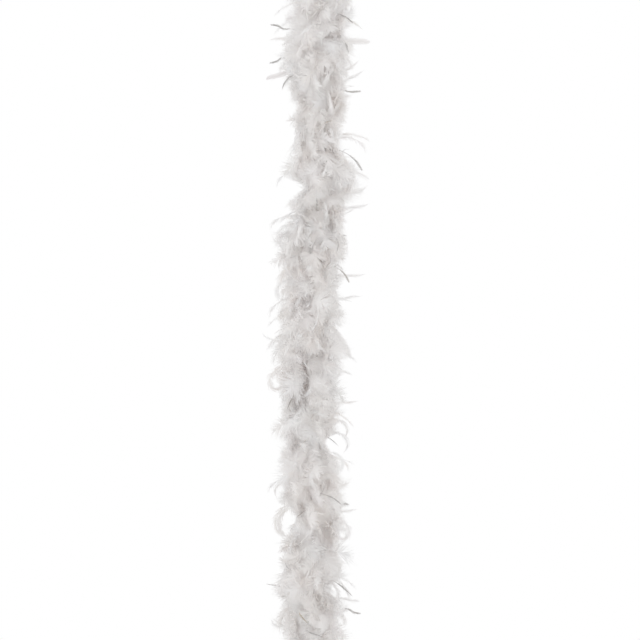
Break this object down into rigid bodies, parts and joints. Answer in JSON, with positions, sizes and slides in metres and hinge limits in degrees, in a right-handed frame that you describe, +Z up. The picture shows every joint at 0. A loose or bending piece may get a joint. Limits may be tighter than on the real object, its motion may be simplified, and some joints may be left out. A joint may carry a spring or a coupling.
{
  "type": "feather boa",
  "caption": "Long fluffy white boa of soft rounded feathers gripped by a twisted cotton cord, with a hang loop at one end and a knot at the other.",
  "frame": {"origin": "inside top of the hang loop, where a hook bears on it", "axes": "+Z up along the hanging boa, from its end knot to its hang loop; the hang loop lies flat in the XZ plane"},
  "size_m": [0.18, 0.18, 1.8091],
  "materials": {
    "feathers": "soft matt white feather, faintly warm grey",
    "core_cord": "twisted matt cotton",
    "binding_thread": "waxed cotton thread"
  },
  "bodies": {
    "hang_loop": {"hang_loop": "core_cord", "loop_whipping": "binding_thread"},
    "length_01": {"core_strand_a_01": "core_cord", "core_strand_b_01": "core_cord", "feather_tuft_01": "feathers"},
    "length_02": {"core_strand_a_02": "core_cord", "core_strand_b_02": "core_cord", "feather_tuft_02": "feathers"},
    "length_03": {"core_strand_a_03": "core_cord", "core_strand_b_03": "core_cord", "feather_tuft_03": "feathers"},
    "length_04": {"core_strand_a_04": "core_cord", "core_strand_b_04": "core_cord", "feather_tuft_04": "feathers"},
    "length_05": {"core_strand_a_05": "core_cord", "core_strand_b_05": "core_cord", "feather_tuft_05": "feathers"},
    "length_06": {"core_strand_a_06": "core_cord", "core_strand_b_06": "core_cord", "feather_tuft_06": "feathers"},
    "length_07": {"core_strand_a_07": "core_cord", "core_strand_b_07": "core_cord", "feather_tuft_07": "feathers"},
    "length_08": {"core_strand_a_08": "core_cord", "core_strand_b_08": "core_cord", "feather_tuft_08": "feathers"},
    "length_09": {"core_strand_a_09": "core_cord", "core_strand_b_09": "core_cord", "feather_tuft_09": "feathers"},
    "length_10": {"core_strand_a_10": "core_cord", "core_strand_b_10": "core_cord", "feather_tuft_10": "feathers"},
    "length_11": {"core_strand_a_11": "core_cord", "core_strand_b_11": "core_cord", "feather_tuft_11": "feathers"},
    "length_12": {"core_strand_a_12": "core_cord", "core_strand_b_12": "core_cord", "feather_tuft_12": "feathers"},
    "length_13": {"core_strand_a_13": "core_cord", "core_strand_b_13": "core_cord", "feather_tuft_13": "feathers"},
    "length_14": {"core_strand_a_14": "core_cord", "core_strand_b_14": "core_cord", "feather_tuft_14": "feathers"},
    "length_15": {"core_strand_a_15": "core_cord", "core_strand_b_15": "core_cord", "feather_tuft_15": "feathers"},
    "length_16": {"core_strand_a_16": "core_cord", "core_strand_b_16": "core_cord", "feather_tuft_16": "feathers", "end_whipping": "binding_thread", "end_knot": "core_cord", "tail_a": "core_cord", "tail_b": "core_cord"}
  },
  "joints": [
    {"name": "core_bend_01", "type": "hinge", "parent": "hang_loop", "child": "length_01", "pos_m": [0, 0, -0.0313], "axis": [1, 0, 0], "range_deg": [-40, 40]},
    {"name": "core_bend_02", "type": "hinge", "parent": "length_01", "child": "length_02", "pos_m": [0, 0, -0.1393], "axis": [0, 1, 0], "range_deg": [-40, 40]},
    {"name": "core_bend_03", "type": "hinge", "parent": "length_02", "child": "length_03", "pos_m": [0, 0, -0.2473], "axis": [-1, 0, 0], "range_deg": [-40, 40]},
    {"name": "core_bend_04", "type": "hinge", "parent": "length_03", "child": "length_04", "pos_m": [0, 0, -0.3553], "axis": [0, -1, 0], "range_deg": [-40, 40]},
    {"name": "core_bend_05", "type": "hinge", "parent": "length_04", "child": "length_05", "pos_m": [0, 0, -0.4633], "axis": [1, 0, 0], "range_deg": [-40, 40]},
    {"name": "core_bend_06", "type": "hinge", "parent": "length_05", "child": "length_06", "pos_m": [0, 0, -0.5713], "axis": [0, 1, 0], "range_deg": [-40, 40]},
    {"name": "core_bend_07", "type": "hinge", "parent": "length_06", "child": "length_07", "pos_m": [0, 0, -0.6793], "axis": [-1, 0, 0], "range_deg": [-40, 40]},
    {"name": "core_bend_08", "type": "hinge", "parent": "length_07", "child": "length_08", "pos_m": [0, 0, -0.7873], "axis": [0, -1, 0], "range_deg": [-40, 40]},
    {"name": "core_bend_09", "type": "hinge", "parent": "length_08", "child": "length_09", "pos_m": [0, 0, -0.8953], "axis": [1, 0, 0], "range_deg": [-40, 40]},
    {"name": "core_bend_10", "type": "hinge", "parent": "length_09", "child": "length_10", "pos_m": [0, 0, -1.0033], "axis": [0, 1, 0], "range_deg": [-40, 40]},
    {"name": "core_bend_11", "type": "hinge", "parent": "length_10", "child": "length_11", "pos_m": [0, 0, -1.1113], "axis": [-1, 0, 0], "range_deg": [-40, 40]},
    {"name": "core_bend_12", "type": "hinge", "parent": "length_11", "child": "length_12", "pos_m": [0, 0, -1.2193], "axis": [0, -1, 0], "range_deg": [-40, 40]},
    {"name": "core_bend_13", "type": "hinge", "parent": "length_12", "child": "length_13", "pos_m": [0, 0, -1.3273], "axis": [1, 0, 0], "range_deg": [-40, 40]},
    {"name": "core_bend_14", "type": "hinge", "parent": "length_13", "child": "length_14", "pos_m": [0, 0, -1.4353], "axis": [0, 1, 0], "range_deg": [-40, 40]},
    {"name": "core_bend_15", "type": "hinge", "parent": "length_14", "child": "length_15", "pos_m": [0, 0, -1.5433], "axis": [-1, 0, 0], "range_deg": [-40, 40]},
    {"name": "core_bend_16", "type": "hinge", "parent": "length_15", "child": "length_16", "pos_m": [0, 0, -1.6513], "axis": [0, -1, 0], "range_deg": [-40, 40]}
  ]
}
